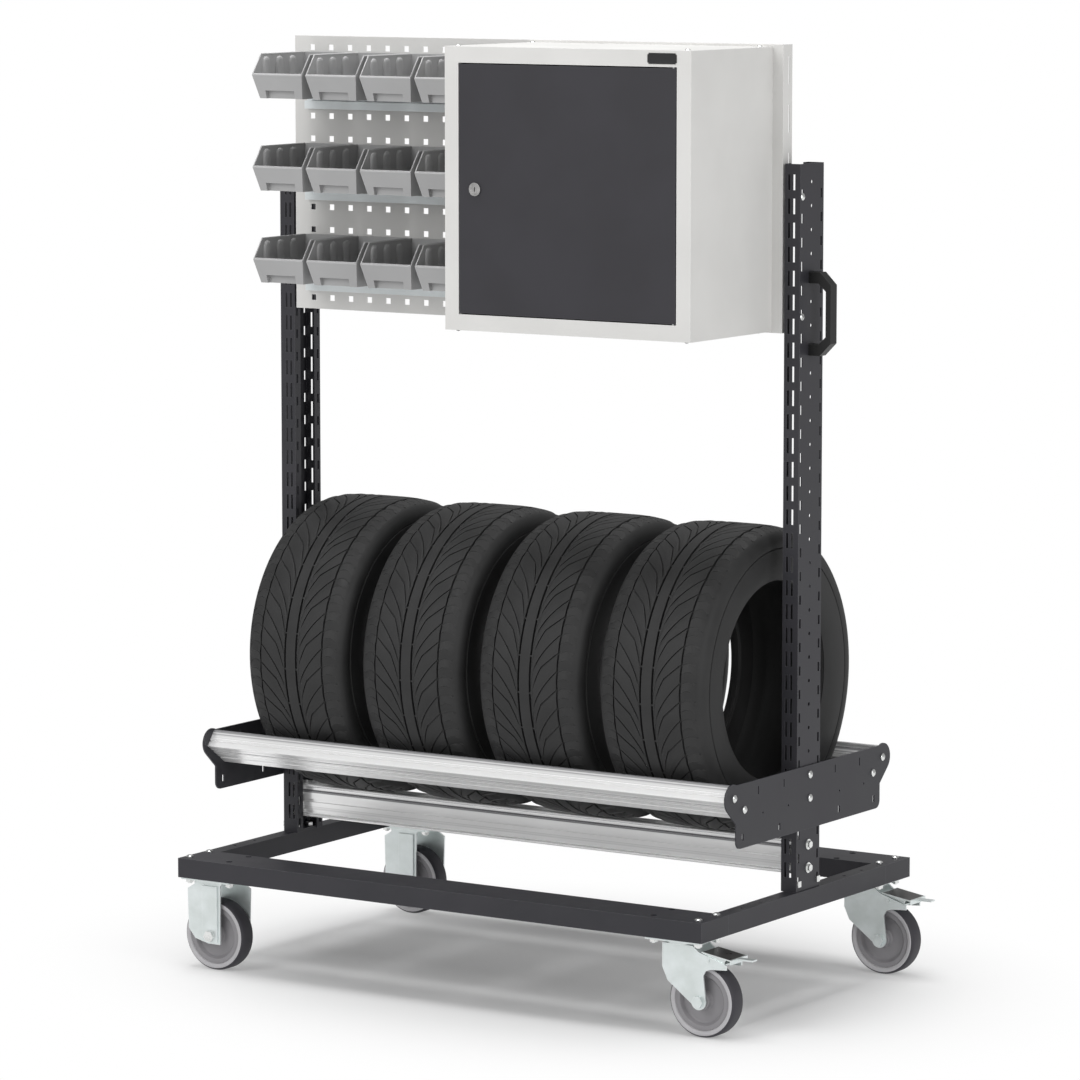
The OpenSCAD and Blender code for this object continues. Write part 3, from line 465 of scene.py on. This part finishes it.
# How square the tyre's outer skin is in section: 1 is an ellipse, 0 a rectangle
CARCASS_POWER = 0.42
# Where the widest part of the sidewall lies, from the bead to the tread
WIDEST_AT = 0.45
RUBBER_SIDE, RUBBER_TREAD = 10 * MM, 11 * MM

# Tread, across its half width
CENTRE_RIB, CENTRE_GROOVE, CENTRE_LIP = 9.5 * MM, 13.5 * MM, 0.3 * MM
SIDE_RIB, EDGE_GROOVE, EDGE_LIP = 63.0 * MM, 66.5 * MM, 0.4 * MM
SHOULDER_END, SIDEWALL_START = 90.0 * MM, 92.5 * MM
RIB_STEPS = (0, 0.05, 0.1, 0.18, 0.28, 0.38, 0.5, 0.64, 0.8, 0.97, 1)
SHOULDER_STEPS = (0, 0.12, 0.35, 0.6, 0.85, 1)

# Tread, round the tyre: each period has one cut of each kind, half a pitch apart
PERIODS = 26
CUTS = ("bold", "faint", "kinked", "tie")
CUT_SPACING = 0.5
SWEEPING = ("bold", "kinked")
SIPE_HALF, FAINT_HALF, TIE_HALF, CUT_WALL = 0.9 * MM, 0.5 * MM, 1.2 * MM, 0.25 * MM
GROOVE_DEPTH, EDGE_GROOVE_DEPTH, TIE_DEPTH = 6.0 * MM, 4.5 * MM, 1.2 * MM
SIPE_DEPTH, SHOULDER_CUT, FAINT_CUT = 3.2 * MM, 2.8 * MM, 0.9 * MM
# How far the rubber falls away towards a swept cut
SIPE_RELIEF, SHOULDER_RELIEF = 0.6 * MM, 2.0 * MM
# How far a cut has run round the tyre, in pitches, at the tread's edge and at its kink
FULL_SWAY, KINK_SWAY, KINK_AT = 2.75, 1.9, 0.38

SIDE_RING = 0.30


def skin_point(top, mid, half, angle):
    """A point (across, radius) of the outer skin, from the widest part (0) to the tread (90 degrees)."""
    return half * math.cos(angle) ** CARCASS_POWER, mid + (top - mid) * math.sin(angle) ** CARCASS_POWER


def skin_angle(w, half):
    return math.acos(min(1.0, (w / half) ** (1 / CARCASS_POWER)))


def tread_lines(top, mid, half):
    """Lines across half the tread: offset, radius, region and how far across the rib it is."""
    lines = [(0.0, "rib", 0.0), (CENTRE_RIB, "rib", 0.0),
             (CENTRE_RIB + CENTRE_LIP, "groove", 0.0), (CENTRE_GROOVE - CENTRE_LIP, "groove", 0.0)]
    lines += [(CENTRE_GROOVE + (SIDE_RIB - CENTRE_GROOVE) * s, "sweep", s) for s in RIB_STEPS]
    lines += [(SIDE_RIB + EDGE_LIP, "edge_groove", 1.0), (EDGE_GROOVE - EDGE_LIP, "edge_groove", 1.0)]
    lines += [(EDGE_GROOVE + (SHOULDER_END - EDGE_GROOVE) * s, "shoulder", s) for s in SHOULDER_STEPS]
    return [(w, skin_point(top, mid, half, skin_angle(w, half))[1], region, s) for w, region, s in lines]


def sidewall_lines(top, mid, half, bead):
    """Lines from the shoulder round the sidewall and bead, then over the inner liner to the middle."""
    start, steps = skin_angle(SIDEWALL_START, half), 6
    lines = [skin_point(top, mid, half, start * (1 - i / steps)) for i in range(steps + 1)]
    ring = mid + SIDE_RING * (top - mid)
    lines = [line for line in lines if abs(line[1] - ring) > 3 * MM]
    lines += [(0.990 * half, ring + 1.0 * MM), (0.974 * half, ring + 0.4 * MM),
              (0.976 * half, ring - 1.2 * MM), (0.994 * half, ring - 2.2 * MM)]
    lines.sort(key=lambda line: -line[1])
    for turn in (math.radians(angle) for angle in (18, 36, 54, 70, 80)):
        lines.append((half * (1 - 0.12 * (1 - math.cos(turn))), mid - (mid - bead) * math.sin(turn)))
    lines[-1] = (lines[-1][0] + 0.6 * MM, lines[-1][1])
    lines += [(0.895 * half, bead + 2.2 * MM), (0.865 * half, bead + 0.2 * MM),
              (0.76 * half, bead + 0.2 * MM), (0.745 * half, bead + 6 * MM)]
    inner_half, inner_top = half - RUBBER_SIDE, top - RUBBER_TREAD
    for turn in (math.radians(angle) for angle in (-60, -30, 0)):
        lines.append((inner_half * (1 - 0.16 * (1 - math.cos(turn))), mid + (mid - bead) * math.sin(turn)))
    for turn in (math.radians(angle) for angle in (25, 50, 70)):
        lines.append((inner_half * math.cos(turn) ** 0.6, mid + (inner_top - mid) * math.sin(turn) ** 0.6))
    lines.append((0.0, inner_top))
    return [(w, r, "side", 1.0) for w, r in lines]


def cut_sway(kind, region, s):
    """How far a cut has run round the tyre, in pitches, where it is a part s of the way over its rib."""
    if region in ("rib", "groove"):
        return 0.0
    if region == "shoulder":
        return FULL_SWAY + 0.16 * math.sin(math.pi * s)
    if region != "sweep":
        return FULL_SWAY
    if kind not in ("kinked", "tie"):
        return FULL_SWAY * s ** 0.55
    if s < KINK_AT:
        return KINK_SWAY * (s / KINK_AT) ** 0.6
    return KINK_SWAY + (FULL_SWAY - KINK_SWAY) * (s - KINK_AT) / (1 - KINK_AT)


def cut_half_width(kind, region, s):
    """Half of a cut's width; a sipe is wide where it starts beside the groove."""
    if region == "groove" and kind == "tie":
        return TIE_HALF
    half_cut = SIPE_HALF if kind in SWEEPING else FAINT_HALF
    if region == "sweep" and kind in SWEEPING:
        return half_cut * min(1.5 / math.sqrt(max(s, 0.06)), 3.2)
    return half_cut * (1.5 if region == "shoulder" else 1.0)


def cut_depth(kind, region, s, inside):
    """Depth below the skin, inside a cut or beside it."""
    sweeping = kind in SWEEPING
    if region == "groove":
        return TIE_DEPTH if kind == "tie" and inside else GROOVE_DEPTH
    if region == "edge_groove":
        return EDGE_GROOVE_DEPTH
    if region == "sweep" and sweeping:
        return SIPE_DEPTH * min(1.0, max(0.0, (s - 0.05) / 0.1)) if inside else SIPE_RELIEF
    if region == "shoulder" and inside:
        return (SHOULDER_CUT if sweeping else FAINT_CUT) * (1.0 - s ** 6)
    return SHOULDER_RELIEF if region == "shoulder" and sweeping else 0.0


def cut_columns(kind, along, across, top, pitch):
    """The four columns of points round the tyre that make one cut: its two walls, each with two edges."""
    verts = []
    for side, outer in ((-1, True), (-1, False), (1, False), (1, True)):
        for w, r, region, s in across:
            step = side * (cut_half_width(kind, region, s) + (CUT_WALL if outer else 0.0))
            angle = (along + cut_sway(kind, region, s) * pitch + step) / top
            radius = r - cut_depth(kind, region, s, not outer)
            verts.append((w, -radius * math.cos(angle), radius * math.sin(angle)))
    return verts


def tyre_mesh(top, half, bead):
    """A tyre about its own centre, axis along X, with real grooves, swept sipes and tie bars."""
    mid = bead + WIDEST_AT * (top - bead)
    pitch = math.pi * top / PERIODS
    half_lines = tread_lines(top, mid, half) + sidewall_lines(top, mid, half, bead)
    across = half_lines + [(-w, r, region, s) for w, r, region, s in reversed(half_lines[1:-1])]
    verts = []
    for cut in range(PERIODS * len(CUTS)):
        verts += cut_columns(CUTS[cut % len(CUTS)], cut * CUT_SPACING * pitch, across, top, pitch)
    return make_mesh("tyre", verts, ring_faces(len(verts) // len(across), len(across)), [tyre_rubber])


def add_tyres():
    mesh = tyre_mesh(half_size("tyre_1", Z) - SKIN_INSET, half_size("tyre_1", X) - SKIN_INSET, BEAD_RADIUS)
    for place in range(1, 5):
        replace_node(f"ribbed_tyre_{place}", mesh, f"tyre_{place}")


# ---- Wheels ----

AXLE_BORE = 6.2 * MM
# How many sides of the band's profile, from the rim outwards, are its light ring
RING_SIDES = 6


def wheel_core_profile(rim, hub, half):
    """From the bore over the hub, across the thin web and up to the rim; hub and half are half widths."""
    return [(AXLE_BORE, hub - 1.2 * MM), (AXLE_BORE + 1.2 * MM, hub), (AXLE_BORE + 8 * MM, hub),
            (AXLE_BORE + 9 * MM, hub - 1 * MM), (AXLE_BORE + 9.4 * MM, 10 * MM),
            (AXLE_BORE + 11 * MM, 8 * MM), (rim - 14 * MM, 7 * MM), (rim - 12 * MM, 8 * MM),
            (rim - 8.5 * MM, half - 4.4 * MM), (rim - 7.5 * MM, half - 3.6 * MM),
            (rim - 0.2 * MM, half - 3.4 * MM)]


def wheel_band_profile(rim, top, half):
    """A light ring beside the rim, then the dark tread."""
    return [(rim, half - 4.2 * MM), (rim + 0.6 * MM, half - 2.6 * MM), (rim + 1.4 * MM, half - 1.6 * MM),
            (rim + 4.5 * MM, half - 0.4 * MM), (rim + 6.6 * MM, half - 0.2 * MM),
            (rim + 7.6 * MM, half - 1.0 * MM), (rim + 8.2 * MM, half - 1.1 * MM),
            (rim + 9.4 * MM, half - 1.8 * MM), (top - 0.9 * MM, half - 4.2 * MM), (top, half - 8 * MM)]


def add_wheels():
    rim, hub = half_size("wheel_core_fl", Z), half_size("wheel_core_fl", Y)
    top, half = half_size("wheel_tread_fl", Z), half_size("wheel_tread_fl", Y)
    core_line = mirrored(wheel_core_profile(rim, hub, half))
    core = lathe_y("wheel_centre", core_line, [0] * len(core_line), [wheel_plastic])
    band_line = mirrored(wheel_band_profile(rim, top, half))
    ring, dark = [1] * RING_SIDES, [0] * (len(band_line) - 2 * RING_SIDES - 1)
    band = lathe_y("wheel_band", band_line, ring + dark + ring + [0], [tread_rubber, ring_rubber], steps=96)
    for end in ("fl", "rl", "fr", "rr"):
        replace_node(f"wheel_centre_{end}", core, f"wheel_core_{end}")
        replace_node(f"wheel_band_{end}", band, f"wheel_tread_{end}")


# ---- Bins ----

# The bin's sizes in millimetres, as in the CAD; its rim falls towards the front over a drop and a run
BIN_W, BIN_D, BIN_H = 105.5, 156.0, 77.0
BIN_WALL, BIN_TAPER, RIM_DROP, RIM_RUN = 2.0, 8.0, 36.0, 26.0
RIM_BEAD, RIM_INSET = 1.5, 1.2
FLUTE_STEPS, FLUTE_HALF, FLUTE_SWELL = 8, 10.5, 4.6
# Heights on a flute, with its part of the full width there: it closes in a round top
FLUTE_ROWS = ((2.5, 1.0), (22, 1.0), (41, 1.0), (60, 1.0), (65, 0.93), (69, 0.72), (71.2, 0.4), (72, 0.08))


def strip_faces(rows, width, closed=False):
    """Quads over a sheet of points in rows, with its two end rows filled in; closed joins its long sides."""
    faces = [(i * width + k, i * width + (k + 1) % width, (i + 1) * width + (k + 1) % width,
              (i + 1) * width + k)
             for i in range(rows - 1) for k in range(width if closed else width - 1)]
    return faces + [tuple(range(width)), tuple(range((rows - 1) * width, rows * width))]


def tube(path, radius, sides=8):
    """A round bead along a path of points."""
    verts = []
    for i, point in enumerate(path):
        ahead = (path[min(i + 1, len(path) - 1)] - path[max(i - 1, 0)]).normalized()
        across = ahead.cross(Vector((0.3, 0.2, 1))).normalized()
        above = across.cross(ahead)
        verts += [point + radius * (math.cos(a) * across + math.sin(a) * above)
                  for a in (2 * math.pi * k / sides for k in range(sides))]
    return verts, strip_faces(len(path), sides, closed=True)


def flute(side, y):
    """An upright swelling on the inside of a bin's side wall, round at its top."""
    verts = []
    for z, wide in FLUTE_ROWS:
        wall = BIN_WALL + BIN_TAPER * max(0.0, 1 - z / (BIN_H - RIM_DROP)) - 0.3
        for k in range(FLUTE_STEPS + 1):
            angle = math.pi * k / FLUTE_STEPS
            inward = wall + FLUTE_SWELL * min(1.0, wide * 1.4) * math.sin(angle) ** 0.7
            x = inward if side < 0 else BIN_W - inward
            verts.append(Vector((x, y - FLUTE_HALF * wide * math.cos(angle), z)) * MM)
    return verts, strip_faces(len(FLUTE_ROWS), FLUTE_STEPS + 1)


def joined(parts):
    verts, faces = [], []
    for some_verts, some_faces in parts:
        faces += [tuple(len(verts) + i for i in face) for face in some_faces]
        verts += some_verts
    return verts, faces


def add_bin_details():
    flutes = joined([flute(side, -BIN_D * i / 4) for side in (-1, 1) for i in (1, 2, 3)])
    fluted = make_mesh("bin_flutes", *flutes, [bin_plastic], crease=50)
    left_edge = [(1, -2, BIN_H - 1), (1, -BIN_D + RIM_RUN, BIN_H - 1),
                 (1, -BIN_D + RIM_INSET, BIN_H - RIM_DROP)]
    right_edge = [(BIN_W - x, y, z) for x, y, z in reversed(left_edge)]
    path = [Vector(point) * MM for point in left_edge + right_edge]
    rim = make_mesh("bin_rim", *tube(path, RIM_BEAD * MM), [bin_rim], crease=50)
    for row in (1, 2, 3):
        for column in (1, 2, 3, 4):
            node = f"bin_{row}_{column}"
            place = corners(node)[0] + Vector((0, BIN_D * MM, 0))
            for mesh in (fluted, rim):
                add_piece(f"{mesh.name}_{row}_{column}", mesh, node, place)


# ---- Pedals and plate ----

PEDAL_LENGTH, PEDAL_SLOPE = 86.0 * MM, 9.0 / 55.0
PAD_START, PAD_END, PAD_HALF = 1.5 * MM, 53.5 * MM, 25.0 * MM
PAD_BELOW, PAD_ABOVE = -0.4 * MM, 0.35 * MM


def add_pedal_tops():
    """Dark grip surface on the sloping plate of each brake pedal."""
    for side in ("front", "rear"):
        node = f"brake_pedal_{side}"
        low, high = corners(node)
        heel = high.x - PEDAL_LENGTH
        verts = [(heel + x, (low.y + high.y) / 2 + y, high.z - PEDAL_SLOPE * x + lift)
                 for x in (PAD_START, PAD_END) for y in (-PAD_HALF, PAD_HALF)
                 for lift in (PAD_BELOW, PAD_ABOVE)]
        faces = [(0, 1, 3, 2), (4, 6, 7, 5), (0, 4, 5, 1), (2, 3, 7, 6), (1, 5, 7, 3), (0, 2, 6, 4)]
        mesh = make_mesh(f"pedal_top_{side}", verts, faces, [pedal_pad])
        add_piece(f"pedal_top_{side}", mesh, node, round_off=0.2 * MM)


def add_name_plate():
    """A plain plate with round corners, with nothing written on it."""
    low, high = corners("name_plate")
    shape = bmesh.new()
    bmesh.ops.create_cube(shape, size=1.0)
    bmesh.ops.scale(shape, vec=high - low, verts=shape.verts)
    depth, corner = high.y - low.y, 0.12 * (high.z - low.z)
    uprights = [e for e in shape.edges if abs(e.verts[0].co.y - e.verts[1].co.y) > depth / 2]
    bmesh.ops.bevel(shape, geom=uprights, offset=corner, segments=6, affect="EDGES")
    mesh = bpy.data.meshes.new("plain_plate")
    shape.to_mesh(mesh)
    shape.free()
    mesh.materials.append(plate_plastic)
    replace_node("plain_plate", mesh, "name_plate", round_off=0.5 * MM)


# ---- Finishes on the CAD's own pieces ----

# material, rounding of the edges in millimetres, and nodes; a name that ends in _ stands for a family
FINISHES = (
    (anthracite, 0.5, ("base_beam_", "upright_", "bracket_")),
    (door_coat, 0.8, ("cabinet_door",)),
    (light_grey, 0.6, ("panel", "cabinet_body")),
    (aluminium, 0.5, ("rail_front", "rail_rear", "rail_lower")),
    (rail_zinc, 0.4, ("bin_rails",)),
    (bin_plastic, 0.6, ("bin_1_", "bin_2_", "bin_3_")),
    (zinc, 0.6, ("fixed_fork_", "swivel_plate_", "swivel_fork_", "swivel_axle_", "brake_pedal_")),
    (bright_zinc, 0.3, ("frame_bolts", "fixed_axles", "foot_nuts", "rail_bolts", "panel_screws",
                        "handle_screws", "hinge_pins", "cabinet_plugs")),
    (handle_plastic, 2.8, ("handle",)),
    (lock_nickel, 0.4, ("lock_barrel",)),
)


def dress(node, material, width):
    """Gives a CAD node its finish and rounded edges."""
    piece = NODES[node]
    if not piece.material_slots:
        raise SystemExit(f"{node} has no material slot")
    for slot in piece.material_slots:
        slot.material = material
    soften(piece, width)


def dress_frame():
    for material, width, names in FINISHES:
        for name in names:
            for node in NODES:
                if node == name or name.endswith("_") and node.startswith(name):
                    dress(node, material, width * MM)


add_camera()
add_lights()
add_sky()
add_floor()
dress_frame()
add_tyres()
add_wheels()
add_bin_details()
add_pedal_tops()
add_name_plate()
